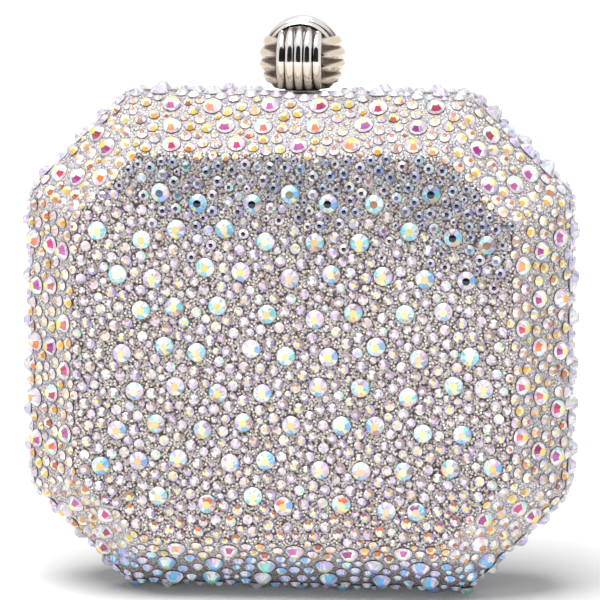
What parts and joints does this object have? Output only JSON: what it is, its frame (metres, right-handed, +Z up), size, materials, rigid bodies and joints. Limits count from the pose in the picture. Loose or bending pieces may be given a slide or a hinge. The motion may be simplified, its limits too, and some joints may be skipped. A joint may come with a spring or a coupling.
{
  "type": "minaudiere",
  "caption": "Hard octagonal evening case covered in faceted crystals, hinged along its bottom and opened by pressing a knotted metal ball on top.",
  "frame": {"origin": "under the middle of the closed case, on the surface that the bottom rows of crystals stand on", "axes": "+Z up through the ball clasp, -Y towards the lid at the front, +X to the right seen from the front"},
  "size_m": [0.136, 0.047, 0.1411],
  "materials": {
    "case_metal": "satin",
    "frame_metal": "polished",
    "clasp_metal": "polished",
    "spring_steel": "satin",
    "lining": "satin",
    "crystal": "gloss"
  },
  "bodies": {
    "case": {"back_shell": "case_metal", "back_frame": "frame_metal", "back_lining": "lining", "back_crystals": "crystal", "back_medium_crystals": "crystal", "back_base_crystals": "crystal", "back_hinge_leaf_left": "frame_metal", "back_hinge_leaf_right": "frame_metal", "hinge_pin_left": "frame_metal", "hinge_pin_right": "frame_metal", "back_hinge_rivets": "frame_metal", "clasp_collar": "clasp_metal", "latch_housing": "frame_metal", "latch_cover": "frame_metal", "latch_screws": "frame_metal", "return_spring": "spring_steel", "chain_eye_left": "frame_metal", "chain_eye_right": "frame_metal"},
    "lid": {"front_shell": "case_metal", "front_frame": "frame_metal", "front_lining": "lining", "front_crystals": "crystal", "front_medium_crystals": "crystal", "front_base_crystals": "crystal", "front_hinge_leaf_left": "frame_metal", "front_hinge_leaf_right": "frame_metal", "front_hinge_rivets": "frame_metal", "strike_plate": "frame_metal", "strike_rivets": "frame_metal"},
    "clasp": {"clasp_ball": "clasp_metal", "clasp_stem": "clasp_metal", "latch_plate": "frame_metal", "stem_clip": "spring_steel"}
  },
  "joints": [
    {"name": "lid_hinge", "type": "hinge", "parent": "case", "child": "lid", "pos_m": [0, 0, 0.0013], "axis": [1, 0, 0], "range_deg": [0, 85]},
    {"name": "clasp_press", "type": "slide", "parent": "case", "child": "clasp", "axis": [0, 0, -1], "range_m": [0, 0.001], "stiffness_N_per_m": 600, "springref_m": -0.003, "deforming": ["return_spring"]}
  ]
}
